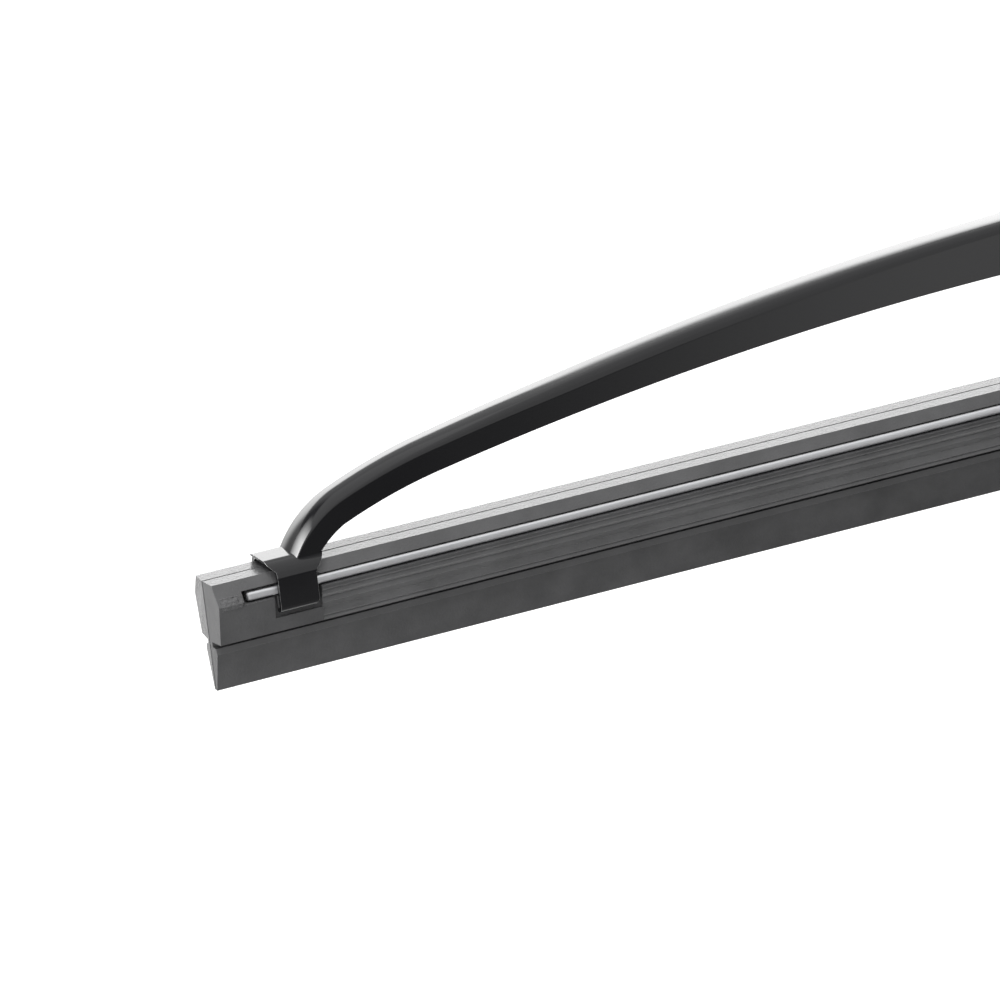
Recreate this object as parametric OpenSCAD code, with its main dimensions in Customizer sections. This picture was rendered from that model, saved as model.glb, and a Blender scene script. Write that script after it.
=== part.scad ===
// Wiper blade with a single stamped bow, a moulded rubber with two steel rails, and a hook adapter.
// X runs along the blade, Y across it, Z up, away from the glass.
// The origin is the middle of the pivot rivet.

/* [Blade] */
// Length of the rubber, end block to end block
blade_length = 280; // [250:1:320]
// Height of the bow's crest above the top of the rubber
crest_height = 22.9; // [20:0.1:26]

/* [Bow] */
// Thickness of the steel sheet
sheet = 0.65; // [0.5:0.05:0.9]
// Radius of the long arch
arch_radius = 509; // [480:1:560]
// Radius of the bend between the arch and the foot
knee_radius = 72; // [60:1:80]
// Radius of the steep foot above the claw
foot_radius = 14.2; // [13:0.1:16]
// Distance from the end of the blade to where the knee starts
knee_from_end = 31.2; // [29:0.1:33]
// Distance from the end of the blade to where the foot starts
foot_from_end = 18.3; // [17.8:0.1:19]
// Width of the bow at its foot
foot_width = 5.6; // [5:0.1:6]
// Width of the bow just before the housing
arch_width = 6; // [5.4:0.1:7]
// Depth of the bow's sides at the foot
foot_depth = 2.95; // [2.7:0.05:3.4]
// Depth of the bow's sides just before the housing
arch_depth = 6.7; // [6:0.1:7.4]
// Radius of the upper edges at the foot
foot_edge_radius = 0.7; // [0.6:0.05:1]
// Radius of the upper edges along the arch
edge_radius = 1.3; // [1.1:0.05:1.6]

/* [Housing] */
// Outer width of the housing in the middle of the bow
housing_width = 12.8; // [12.4:0.1:14]
// Depth of the housing's side walls
housing_depth = 9.5; // [8.8:0.1:11]
// Length of the housing at full width
housing_length = 31.5; // [31.5:0.5:40]
// Length over which the bow spreads into the housing, on each side
flare_length = 8.5; // [8:0.5:16]
// Length of the window for the adapter
window_length = 30.4; // [30:0.2:33]
// Width of the window for the adapter
window_width = 11.3; // [11.1:0.05:11.4]
// Distance of the pivot below the crest
pivot_below_crest = 5.3; // [4.8:0.1:5.6]

/* [Claws] */
// Distance from the end of the blade to the claw's top plate
plate_from_end = 7.4; // [6.5:0.1:8.5]
// Distance from the end of the blade to the flaps
flap_from_end = 8.1; // [7.5:0.1:9]
// Length of a flap along the blade
flap_length = 5.25; // [4.5:0.05:6]
// Width of the flat top plate
plate_width = 4.9; // [4.4:0.1:5.4]
// Gap between the rubber and the underside of the top plate
plate_gap = 0.55; // [0.3:0.05:0.8]
// Height of the shoulder, from the plate down to the top of the flap
shoulder_drop = 1.1; // [0.8:0.05:1.4]
// Distance of the flap's lower edge below the rubber's top
flap_reach = 5.3; // [4.9:0.1:5.7]
// Radius of the flap's rounded lower corner
flap_corner = 1.1; // [0.6:0.1:1.6]
// Length of the lip that the flap's lower edge turns inwards
flap_hook = 0.7; // [0.4:0.05:0.9]
// Inner radius of the bends
bend_inner = 0.25; // [0.15:0.05:0.4]
// Distance from the head's widest point in to the flap's inner face
flap_inset = 0.4; // [0.3:0.05:0.6]
// Depth of the bend in the flap's inner edge, below the rubber's top
throat_bend = 1.1; // [0.8:0.1:1.5]
// Clearance between the claw and the rubber
claw_clearance = 0.05; // [0.02:0.01:0.1]

/* [Rubber] */
// Overall height of the rubber
rubber_height = 14.5; // [13:0.1:16]
// Width of the flat top
top_width = 5.2; // [4.6:0.1:5.6]
// Greatest width of the head
head_width = 8.1; // [7.7:0.1:8.6]
// Depth at which the head is widest
widest_depth = 2.6; // [2.3:0.05:2.9]
// Height of the head
head_height = 7.8; // [7.3:0.1:8.3]
// Width of the head's lower edge
head_foot_width = 6.3; // [5.8:0.1:6.8]
// Width of the neck between head and lip
neck_width = 1.4; // [1:0.1:1.8]
// Height of the slit between head and lip
slit_height = 0.75; // [0.5:0.05:1]
// Slant of the slit's two faces
slit_draft = 0.1; // [0.05:0.05:0.2]
// Width of the lip's shoulder
lip_width = 3.6; // [3:0.1:4.2]
// Height of the lip's shoulder
lip_shoulder = 0.85; // [0.6:0.05:1.2]
// Distance by which the shoulder's upper corner stands back
shoulder_back = 0.25; // [0.1:0.05:0.4]
// Thickness of the lip's wiping edge
lip_edge = 0.8; // [0.6:0.05:1]
// Distance by which the mould line stands out on the end faces
end_nose = 0.33; // [0.1:0.01:0.5]
// Width and depth of the groove along the mould line
mould_line = 0.2; // [0.1:0.05:0.3]
// Depths of the fine ridges on the head's sides
ridge_depths = [4, 5.1, 6.9];
// Height of the fine ridges
ridge_height = 0.14; // [0.05:0.01:0.25]
// Extent of a ridge above its crest line
ridge_above = 0.35; // [0.25:0.05:0.4]
// Extent of a ridge below its crest line
ridge_below = 0.4; // [0.3:0.05:0.5]

/* [Rails] */
// Thickness of a rail
rail_thickness = 0.8; // [0.7:0.05:0.9]
// Width of a rail
rail_width = 2.5; // [2.2:0.1:2.8]
// Depth of the rail's upper face below the rubber's top
rail_depth = 2; // [1.9:0.05:2.2]
// Distance from the end of the blade to the groove
groove_from_end = 3.4; // [2.8:0.1:4.5]
// Gap between the end of the groove and the end of the rail
rail_end_gap = 0.6; // [0.3:0.05:1]
// Radius of the rail's outer corners
rail_corner = 0.6; // [0.3:0.05:0.9]
// Radius of the rail's long outer edges
rail_edge = 0.3; // [0.1:0.05:0.35]
// Width of the open outer part of the groove
groove_step = 1.3; // [1:0.05:1.6]
// Height of the groove's opening above the rail
groove_above = 0.35; // [0.25:0.05:0.5]
// Height of the opening above the rail in the end pockets, up to the claw
pocket_above = 0.8; // [0.5:0.05:0.9]
// Height of the groove's opening below the rail
groove_below = 0.25; // [0.1:0.05:0.4]
// Clearance between a rail and its slot
rail_clearance = 0.03; // [0.02:0.01:0.06]

/* [Rivet] */
// Diameter of the rivet's shank
rivet_d = 5; // [4.6:0.1:5.4]
// Diameter of the rivet's heads
rivet_head_d = 7.6; // [7:0.1:8]
// Height of the rivet's heads
rivet_head_h = 1.1; // [0.8:0.1:1.4]
// Height of the straight rim of the heads
rivet_rim = 0.25; // [0.1:0.05:0.4]
// Radial clearance of the rivet in the bow
rivet_clearance = 0.02; // [0.01:0.01:0.04]

/* [Adapter] */
// Width of the arm's hook that the adapter takes
hook_width = 9; // [8.6:0.1:9.4]
// Thickness of the arm's hook
hook_thickness = 3; // [2.6:0.1:3.4]
// Radius of the core that the hook bends round
core_radius = 3.8; // [3.6:0.1:4.1]
// Thickness of the adapter's side cheeks
cheek = 0.8; // [0.7:0.05:0.9]
// Distance from the pivot to the tail of the adapter
tail_reach = 13; // [12:0.1:13.4]
// Height by which the cheeks stand out beyond the hook
cheek_rim = 0.4; // [0.2:0.1:0.6]
// Size of the slanted upper corner of the tail
tail_corner = 1.5; // [1:0.1:2]
// Width of the spring tongue that locks the hook
tongue_width = 5; // [4:0.1:6]
// Thickness of the spring tongue
tongue_thickness = 1.2; // [0.9:0.05:1.4]
// Gap between the hook and the tongue
tongue_gap = 0.2; // [0.1:0.05:0.4]
// Distance from the pivot to the inner face of the tongue's catch
catch_reach = 5.2; // [5.1:0.05:5.6]
// Depth of the catch's upper end below the pivot
catch_depth = 4.7; // [4.6:0.05:5.2]
// Radial running clearance of the adapter on the rivet
pivot_clearance = 0.06; // [0.03:0.01:0.1]
// Side gap between the hook and each cheek
hook_gap = 0.15; // [0.1:0.01:0.2]

/* [Hidden] */
$fn = 64;
half_length = blade_length / 2;
rubber_top = pivot_below_crest - crest_height;
plate_top = plate_gap + sheet;
flap_inside = head_width / 2 - flap_inset;
flap_outside = flap_inside + sheet;
rail_outside = flap_inside - claw_clearance;
rail_inside = rail_outside - rail_width;
bend_radius = sheet + bend_inner;
bend_steps = 5;
adapter_width = hook_width + 2 * hook_gap + 2 * cheek;
cheek_radius = core_radius + hook_thickness + cheek_rim;
past = 1; // how far a cutting shape runs past the face it cuts

// Plane geometry of a bent sheet
function unit(v) = v / norm(v);
function left_normal(a, b) = let (d = unit(b - a)) [-d[1], d[0]];
function flip(list) = [for (i = [len(list) - 1:-1:0]) list[i]];
function mirrored(list) = [for (i = [len(list) - 1:-1:0]) [-list[i][0], list[i][1]]];

// The path moved sideways, to its left, by the distance d
function moved(path, d) = [
    for (i = [0:len(path) - 1])
        let (
            before = left_normal(path[max(i - 1, 0)], path[max(i, 1)]),
            after = left_normal(path[min(i, len(path) - 2)], path[min(i + 1, len(path) - 1)]),
            both = before + after
        ) path[i] + both * (2 * d / (both * both))
];

// The points of an arc of radius r that rounds the corner b between a and c
function rounded_corner(a, b, c, r, steps) =
    let (
        u = unit(a - b),
        v = unit(c - b),
        half = acos(u * v) / 2,
        centre = b + unit(u + v) * (r / sin(half)),
        first = b + u * (r / tan(half)) - centre,
        last = b + v * (r / tan(half)) - centre,
        from = atan2(first[1], first[0]),
        turn = atan2(first[0] * last[1] - first[1] * last[0], first * last)
    ) [for (i = [0:steps]) centre + r * [cos(from + turn * i / steps), sin(from + turn * i / steps)]];

function rounded(path, r, steps) = [
    path[0],
    for (i = [1:len(path) - 2]) each rounded_corner(path[i - 1], path[i], path[i + 1], r, steps),
    path[len(path) - 1]
];

// The closed outline of a sheet bent along a path, which runs on its outer face
function bent_sheet(path, thick, r) =
    concat(rounded(path, r, bend_steps), flip(rounded(moved(path, thick), r - thick, bend_steps)));

// Side view of the bow's crest: three arcs that meet without a kink, down to the claw's plate
knee_x = -(half_length - knee_from_end);
foot_x = -(half_length - foot_from_end);
arch_centre = [0, crest_height - arch_radius];
function on_arc(centre, r, x) = centre[1] + sqrt(r * r - (x - centre[0]) * (x - centre[0]));
function arc_left(centre, r, z) = centre[0] - sqrt(r * r - (z - centre[1]) * (z - centre[1]));
knee_start = [knee_x, on_arc(arch_centre, arch_radius, knee_x)];
knee_centre = knee_start - knee_radius * unit(knee_start - arch_centre);
foot_start = [foot_x, on_arc(knee_centre, knee_radius, foot_x)];
foot_centre = foot_start - foot_radius * unit(foot_start - knee_centre);
start_x = arc_left(foot_centre, foot_radius, plate_top - sheet / 2);
plate_end_x = arc_left(foot_centre, foot_radius, plate_top + sheet);
function crest_left(x) =
    x > knee_x ? on_arc(arch_centre, arch_radius, x)
    : x > foot_x ? on_arc(knee_centre, knee_radius, x)
    : on_arc(foot_centre, foot_radius, x);
function crest(x) = crest_left(-abs(x));
near = 0.1;
function slope(x) = (crest_left(-abs(x) + near) - crest_left(-abs(x) - near)) / (2 * near);

// Width and depth of the bow along its length, with a smooth spread into the housing
function smooth(t) = let (k = max(0, min(1, t))) k * k * (3 - 2 * k);
arch_end_x = -(housing_length / 2 + flare_length);
function share(x) = max(0, min(1, (-foot_x - abs(x)) / (arch_end_x - foot_x)));
function flare(x) = smooth((housing_length / 2 + flare_length - abs(x)) / flare_length);
function half_width(x) =
    let (plain = foot_width + (arch_width - foot_width) * share(x))
    (plain + (housing_width - plain) * flare(x)) / 2;
function side_depth(x) =
    let (plain = foot_depth + (arch_depth - foot_depth) * share(x))
    plain + (housing_depth - plain) * flare(x);
function lower_edge(x) =
    max(crest(x) - side_depth(x) * sqrt(1 + slope(x) * slope(x)), plate_gap - skirt_drop);

// How far the channel's sides reach below the claw's plate, the smallest inner radius of the channel, and
// how fast the radius of its upper edges grows with the share
skirt_drop = 0.35;
least_radius = 0.05;
radius_growth = 3;
// The largest share of a wall that an outer or an inner corner takes, and of the skirt that stays open
outer_share = 0.9;
inner_share = 0.8;
open_share = 0.7;

// One cross-section of the channel, as a closed ring of points at the place x
function channel_ring(x) =
    let (
        w = half_width(x),
        top = crest(x),
        low = lower_edge(x),
        grown = foot_edge_radius + (edge_radius - foot_edge_radius) * min(1, radius_growth * share(x)),
        r = min(grown, outer_share * (top - low), outer_share * w),
        inner_w = w - sheet,
        inner_top = top - min(sheet * sqrt(1 + slope(x) * slope(x)), top - low - open_share * skirt_drop),
        inner_r = max(min(r - sheet, inner_share * (inner_top - low)), least_radius),
        outer = rounded([[w, low], [w, top], [-w, top], [-w, low]], r, bend_steps),
        inner = rounded([[inner_w, low], [inner_w, inner_top], [-inner_w, inner_top], [-inner_w, low]],
            inner_r, bend_steps)
    ) [for (p = concat(outer, flip(inner))) [x, p[0], p[1]]];

foot_stops = 18;
arch_stops = 15;
flare_stops = 10;
foot_bias = 1.4;
left_stations = concat(
    [for (i = [0:foot_stops - 1]) start_x + (knee_x - start_x) * pow(i / foot_stops, foot_bias)],
    [for (i = [0:arch_stops - 1]) knee_x + (arch_end_x - knee_x) * i / arch_stops],
    [for (i = [0:flare_stops]) arch_end_x + flare_length * i / flare_stops]
);
stations = concat(left_stations, [0], [for (x = flip(left_stations)) -x]);

// A solid skin over rings of points that all have the same number of points
module skin(rings) {
    count = len(rings[0]);
    points = [for (ring = rings) each ring];
    sides = [
        for (i = [0:len(rings) - 2], j = [0:count - 1])
            let (a = i * count + j, b = i * count + (j + 1) % count, c = a + count, d = b + count)
                each [[a, d, b], [a, c, d]]
    ];
    half = count / 2;
    cap = [for (j = [0:half - 2]) each [[j, j + 1, count - 1 - j], [j + 1, count - 2 - j, count - 1 - j]]];
    last = (len(rings) - 1) * count;
    end_cap = [for (f = cap) [last + f[0], last + f[2], last + f[1]]];
    polyhedron(points = points, faces = concat(sides, cap, end_cap));
}

// Turns a drawing in the YZ plane into a bar along X, from x0 to x1
module along_x(x0, x1) {
    translate([x0, 0, 0]) rotate([90, 0, 90]) linear_extrude(x1 - x0) children();
}

// Turns a drawing in the XZ plane into a plate across Y, of the width given, in the middle
module across_y(width) {
    translate([0, width / 2, 0]) rotate([90, 0, 0]) linear_extrude(width) children();
}

// Outer face of the claw's sheet, from the turned-in lip up to the top plate, on the positive side
flap_top = plate_top - shoulder_drop;
claw_side = [
    [flap_inside - flap_hook, -flap_reach],
    [flap_outside, -flap_reach],
    [flap_outside, flap_top],
    [plate_width / 2, plate_top]
];

// Side view of a claw at the left end: a slanted front, a round lower corner, a throat up to the bow
throat_reach = 0.3;
throat_lap = 0.3;
trim = 0.02;
throat_x = foot_x - throat_reach;
throat_z = lower_edge(throat_x) + throat_lap;
flap_low = -flap_reach + trim;
function claw_outline(front, flap_front, flap_back) = concat(
    [
        [flap_front, flap_low],
        [flap_front, flap_top],
        [front, plate_top - sheet / 2],
        [front, throat_z + past],
        [throat_x, throat_z + past]
    ],
    rounded([
        [throat_x, throat_z],
        [flap_back, -throat_bend],
        [flap_back, flap_low],
        [(flap_front + flap_back) / 2, flap_low]
    ], flap_corner, bend_steps)
);

// The plate and its two flanks as one bent sheet, open under the foot of the bow
module left_claw() {
    front = -half_length + plate_from_end;
    flap_front = -half_length + flap_from_end;
    throat_width = foot_width - sheet;
    difference() {
        intersection() {
            along_x(front - past, throat_x + past)
                polygon(bent_sheet(concat(claw_side, mirrored(claw_side)), sheet, bend_radius));
            across_y(2 * (flap_outside + past))
                polygon(claw_outline(front, flap_front, flap_front + flap_length));
        }
        along_x(plate_end_x, throat_x + 2 * past)
            translate([-throat_width / 2, -past]) square([throat_width, plate_top + 2 * past]);
    }
}

module bow() {
    color("#1c1c1e") translate([0, 0, rubber_top]) difference() {
        union() {
            skin([for (x = stations) channel_ring(x)]);
            left_claw();
            mirror([1, 0, 0]) left_claw();
        }
        translate([0, 0, crest_height - edge_radius]) window_cutter();
        translate([0, 0, -rubber_top])
            across_y(housing_width + 2 * past) circle(r = rivet_d / 2 + rivet_clearance);
    }
}

module window_cutter() {
    corner = 1.5;
    linear_extrude(edge_radius + past) {
        square([window_length - 2 * corner, window_width], center = true);
        square([window_length, window_width - 2 * corner], center = true);
        for (sx = [-1, 1], sy = [-1, 1])
            translate([sx * (window_length / 2 - corner), sy * (window_width / 2 - corner)])
                circle(corner);
    }
}

// Half-width of the rubber's head at a depth below its top
function head_side(depth) =
    depth < widest_depth
        ? (top_width + (head_width - top_width) * depth / widest_depth) / 2
        : (head_width - (head_width - head_foot_width) * (depth - widest_depth) / (head_height - widest_depth)) / 2;

lip_top = head_height + slit_height;
lip_half = [
    [neck_width / 2, -head_height - slit_draft],
    [neck_width / 2, -lip_top],
    [lip_width / 2 - shoulder_back, -lip_top - slit_draft],
    [lip_width / 2, -lip_top - lip_shoulder],
    [lip_edge / 2, -rubber_height]
];

// Right half of the rubber's outline from the mould line down to the wiping edge
function rubber_half(side_points) = concat(
    [[0, -mould_line], [mould_line / 2, 0], [top_width / 2, 0]],
    side_points,
    [[head_foot_width / 2, -head_height]],
    lip_half
);
plain_side = [[head_width / 2, -widest_depth]];
groove_low = rail_depth + rail_thickness + groove_below;
ridged_side = [
    [head_width / 2, -widest_depth],
    [head_side(groove_low), -groove_low],
    for (d = ridge_depths) each [
        [head_side(d - ridge_above) - ridge_height, ridge_above - d],
        [head_side(d), -d],
        [head_side(d + ridge_below) - ridge_height, -ridge_below - d]
    ]
];

module rubber_section(side_points) {
    half = rubber_half(side_points);
    polygon(concat(half, [for (p = flip(half)) if (p[0] > 0) [-p[0], p[1]]]));
}

// What the groove and the claws take out of one side of the rubber, drawn on the positive side
recess_margin = 0.6;
recess_gap = 0.1;
well_depth = 0.75; // leaves a block that rests on the flap's turned-in lip
recess_end = flap_from_end + flap_length + recess_margin;
module side_cutter() {
    slot_low = -rail_depth - rail_thickness - rail_clearance;
    groove_x = half_length - groove_from_end;
    recess_low = -flap_reach - recess_margin;
    flap_x = -half_length + flap_from_end - recess_gap;
    along_x(-groove_x, groove_x) {
        translate([rail_inside - rail_clearance, slot_low])
            square([rail_width, rail_thickness + 2 * rail_clearance]);
        translate([rail_outside - groove_step, -groove_low])
            square([groove_step + past, groove_low - rail_depth + groove_above]);
    }
    at_both_ends() {
        along_x(-groove_x, -half_length + recess_end)
            translate([rail_outside - groove_step, -groove_low])
                square([groove_step + past, groove_low - rail_depth + pocket_above]);
        difference() {
            along_x(-half_length + plate_from_end + recess_gap, -half_length + recess_end)
                translate([flap_inside - well_depth, recess_low])
                    square([well_depth + past, -groove_low - recess_low]);
            along_x(flap_x, flap_x + flap_length + 2 * recess_gap)
                translate([flap_inside - well_depth - past, sheet + claw_clearance - flap_reach])
                    square([well_depth + past - claw_clearance, flap_reach]);
        }
        along_x(-half_length + plate_from_end + recess_gap, -half_length + recess_end)
            translate([flap_inside - claw_clearance, recess_low])
                square([flap_inset + past, past - recess_low]);
    }
}

// The shape given and its mirror image at the other end of the blade
module at_both_ends() {
    children();
    mirror([1, 0, 0]) children();
}

// Rough raised patch on the side of each end block, beside the end of the groove
module moulding_pad() {
    proud = 0.12;
    root = 0.5;
    high = 1.65;
    low = 3.2;
    margin = 0.4;
    along_x(-half_length + margin, -half_length + groove_from_end - margin / 2)
        polygon([
            [head_side(high) - root, -high],
            [head_side(high) + proud, -high],
            [head_side(widest_depth) + proud, -widest_depth],
            [head_side(low) + proud, -low],
            [head_side(low) - root, -low]
        ]);
}

module wiping_rubber() {
    ridges_x = half_length - recess_end;
    color("#3a3b3d") translate([0, 0, rubber_top]) difference() {
        intersection() {
            union() {
                along_x(-half_length - past, -ridges_x) rubber_section(plain_side);
                along_x(-ridges_x, ridges_x) rubber_section(ridged_side);
                along_x(ridges_x, half_length + past) rubber_section(plain_side);
                at_both_ends() {
                    moulding_pad();
                    mirror([0, 1, 0]) moulding_pad();
                }
            }
            translate([0, 0, -rubber_height - past]) linear_extrude(rubber_height + 2 * past) end_plan();
        }
        side_cutter();
        mirror([0, 1, 0]) side_cutter();
    }
}

// Plan of the rubber: each end is a shallow wedge, with the mould line as a fine groove at its tip
module end_plan() {
    w = head_width / 2 + past;
    set_back = end_nose * w / (head_width / 2);
    tip = half_length + end_nose;
    nick = mould_line / 2;
    left = [[-tip + set_back, w], [-tip, nick], [-tip + mould_line, 0], [-tip, -nick], [-tip + set_back, -w]];
    polygon(concat(left, [for (p = flip(left)) [-p[0], p[1]]]));
}

// A flat strip in the side groove, with its two outer corners and its long outer edges rounded
module rail() {
    reach = half_length - groove_from_end - rail_end_gap;
    low = -rail_depth - rail_thickness;
    translate([0, 0, rubber_top]) intersection() {
        along_x(-reach - past, reach + past) polygon(rounded([
            [-rail_inside, low],
            [-rail_outside, low],
            [-rail_outside, -rail_depth],
            [-rail_inside, -rail_depth]
        ], rail_edge, bend_steps));
        translate([0, 0, low - past]) linear_extrude(rail_thickness + 2 * past) rail_plan(reach);
    }
}

module rail_plan(reach) {
    translate([-reach, -rail_outside + rail_corner]) square([2 * reach, rail_width - rail_corner]);
    translate([-reach + rail_corner, -rail_outside]) square([2 * (reach - rail_corner), rail_width]);
    for (side = [-1, 1])
        translate([side * (reach - rail_corner), -rail_outside + rail_corner]) circle(rail_corner);
}

module front_rail() {
    color("#b9bcc0") rail();
}

module rear_rail() {
    color("#b9bcc0") mirror([0, 1, 0]) rail();
}

// Solid rivet with a domed head on each outer wall of the housing
module pivot_rivet() {
    seat = housing_width / 2;
    steps = 8;
    dome = [for (i = [0:steps]) [
        rivet_head_d / 2 * cos(i * 90 / steps),
        seat + rivet_rim + (rivet_head_h - rivet_rim) * sin(i * 90 / steps)
    ]];
    upper = concat([[rivet_d / 2, 0], [rivet_d / 2, seat], [rivet_head_d / 2, seat]], dome);
    lower = [for (p = flip(upper)) [p[0], -p[1]]];
    color("#8d9094") rotate([-90, 0, 0]) rotate_extrude()
        polygon(concat(upper, [for (p = lower) if (p[1] < 0) p]));
}

// Side view of the cheeks: round at the nose, where the hook passes, and straight to the tail
module cheek_outline() {
    belly = 4;
    circle(cheek_radius);
    polygon([
        [0, cheek_radius],
        [-tail_reach + tail_corner, cheek_radius],
        [-tail_reach, cheek_radius - tail_corner],
        [-tail_reach, -tail_corner],
        [-tail_reach + belly, -cheek_radius],
        [0, -cheek_radius]
    ]);
}

// Side view of the core that the hook bends round
tail_inset = 0.6;
tail_x = -tail_reach + tail_inset;
web_low = 0.8;
module core_outline() {
    tail = [tail_x, web_low];
    touch = 180 + atan(tail[1] / tail[0]) + acos(core_radius / norm(tail));
    circle(core_radius);
    polygon([
        [0, core_radius],
        [tail_x, core_radius],
        tail,
        [core_radius * cos(touch), core_radius * sin(touch)],
        [0, 0]
    ]);
}

// Side view of the spring tongue: from the tail it runs under the hook, and its catch turns up at the bend
module tongue_outline() {
    low = -core_radius - hook_thickness - tongue_gap - tongue_thickness;
    catch_x = catch_reach + tongue_thickness;
    root_x = tail_x + tongue_gap;
    polygon(bent_sheet(
        [[root_x, web_low + past], [root_x, low], [catch_x, low], [catch_x, -catch_depth]],
        tongue_thickness, tongue_thickness + past
    ));
}

module arm_adapter() {
    color("#26272a") difference() {
        union() {
            across_y(adapter_width - cheek) core_outline();
            across_y(tongue_width) tongue_outline();
            for (side = [-1, 1])
                translate([0, side * (adapter_width - cheek) / 2, 0]) across_y(cheek) cheek_outline();
        }
        across_y(adapter_width + 2 * past) circle(r = rivet_d / 2 + pivot_clearance);
    }
}

bow();
wiping_rubber();
front_rail();
rear_rail();
pivot_rivet();
arm_adapter();
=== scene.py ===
# %% [markdown]
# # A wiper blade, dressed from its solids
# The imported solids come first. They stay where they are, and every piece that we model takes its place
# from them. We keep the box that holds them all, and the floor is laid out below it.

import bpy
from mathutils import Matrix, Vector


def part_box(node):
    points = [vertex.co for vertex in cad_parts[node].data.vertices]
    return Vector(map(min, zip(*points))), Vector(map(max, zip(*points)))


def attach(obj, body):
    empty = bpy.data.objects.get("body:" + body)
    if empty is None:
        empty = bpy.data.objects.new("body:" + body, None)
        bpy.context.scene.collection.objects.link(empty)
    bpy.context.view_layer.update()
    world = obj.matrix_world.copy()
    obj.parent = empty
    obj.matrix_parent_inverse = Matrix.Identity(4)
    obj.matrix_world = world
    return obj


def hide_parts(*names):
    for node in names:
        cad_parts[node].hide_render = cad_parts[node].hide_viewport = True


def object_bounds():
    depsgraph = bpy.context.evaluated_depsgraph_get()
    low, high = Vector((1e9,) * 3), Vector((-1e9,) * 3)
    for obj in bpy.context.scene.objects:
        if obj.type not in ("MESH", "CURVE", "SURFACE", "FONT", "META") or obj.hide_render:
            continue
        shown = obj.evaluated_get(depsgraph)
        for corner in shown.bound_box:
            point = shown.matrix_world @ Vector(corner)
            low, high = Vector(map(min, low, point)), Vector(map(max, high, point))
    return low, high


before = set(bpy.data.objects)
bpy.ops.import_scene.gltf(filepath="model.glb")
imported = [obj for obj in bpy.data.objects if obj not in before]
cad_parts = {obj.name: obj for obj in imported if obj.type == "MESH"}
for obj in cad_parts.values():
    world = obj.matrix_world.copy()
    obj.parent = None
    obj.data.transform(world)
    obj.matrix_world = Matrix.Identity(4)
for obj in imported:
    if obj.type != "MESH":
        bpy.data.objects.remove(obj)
packed_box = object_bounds()
print("solids:", sorted(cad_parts))

# %% [markdown]
# ## Working by hand, in code
# Each piece is drawn the way we would draw it by hand: a point is pulled along an outline, the outline is
# filled and pulled out to a body, and modifiers round its edges. An operator acts on all that is selected,
# so every piece starts from an empty selection. Sizes are written in millimetres, as a maker would write
# them, and MM turns them into Blender's metres.

# %% An empty selection
import math

import bmesh
import bpy
from mathutils import Matrix, Vector

MM = 0.001


def nothing_selected():
    if bpy.context.mode != "OBJECT":
        bpy.ops.object.mode_set(mode="OBJECT")
    bpy.ops.object.select_all(action="DESELECT")


nothing_selected()
print("selected:", len(bpy.context.selected_objects))


# %% Draw a line from point to point
def trace(name, points):
    """A plane shrinks to one point, which is then extruded along the points given in millimetres."""
    nothing_selected()
    bpy.ops.mesh.primitive_plane_add(size=MM, location=Vector(points[0]) * MM)
    line = bpy.context.object
    line.name = line.data.name = name
    bpy.ops.object.transform_apply(location=True)
    bpy.ops.object.mode_set(mode="EDIT")
    bpy.ops.mesh.select_mode(type="VERT")
    bpy.ops.mesh.select_all(action="SELECT")
    bpy.ops.mesh.merge(type="CENTER")
    for here, there in zip(points, points[1:]):
        pull(Vector(there) - Vector(here))
    bpy.ops.mesh.select_all(action="SELECT")
    return line


def pull(step):
    """Extrudes what is selected by a step in millimetres."""
    bpy.ops.mesh.extrude_region_move(TRANSFORM_OT_translate={"value": Vector(step) * MM})


def outline_body(name, points, step):
    """A closed outline, filled and pulled out to a solid body."""
    body = trace(name, points)
    bpy.ops.mesh.edge_face_add()
    pull(step)
    outward(body)
    return body


def outward(piece):
    """Turns all faces outwards and goes back to object mode."""
    bpy.ops.mesh.select_all(action="SELECT")
    bpy.ops.mesh.normals_make_consistent(inside=False)
    nothing_selected()
    return piece


# %% Finish a piece with modifiers
def finish_with(piece, kind, **settings):
    """Adds one modifier, sets it and applies it."""
    nothing_selected()
    bpy.context.view_layer.objects.active = piece
    piece.select_set(True)
    modifier = piece.modifiers.new(kind.title(), kind)
    for key, value in settings.items():
        setattr(modifier, key, value)
    bpy.ops.object.modifier_apply(modifier=modifier.name)
    piece.select_set(False)


def carve(piece, tool, operation="DIFFERENCE"):
    """Cuts, keeps or adds the form of a tool, which is then thrown away."""
    finish_with(piece, "BOOLEAN", object=tool, operation=operation, solver="EXACT")
    bpy.data.objects.remove(tool)


def soften(piece, width, segments=2, angle=40, material=-1):
    """Rounds the edges sharper than the angle, and can give the new faces a material of their own."""
    finish_with(piece, "BEVEL", width=width * MM, segments=segments, limit_method="ANGLE",
                angle_limit=math.radians(angle), harden_normals=False, material=material)
    smooth(piece, angle)


def smooth(piece, angle=40):
    """Smooths the shading over edges that are blunter than the angle."""
    nothing_selected()
    piece.select_set(True)
    bpy.context.view_layer.objects.active = piece
    bpy.ops.object.shade_smooth_by_angle(angle=math.radians(angle))
    piece.select_set(False)


def flat_faces(piece):
    """Lets large faces set the shading at their borders, so that they look flat beside roundings."""
    finish_with(piece, "WEIGHTED_NORMAL", mode="FACE_AREA", weight=80, keep_sharp=True)


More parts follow.
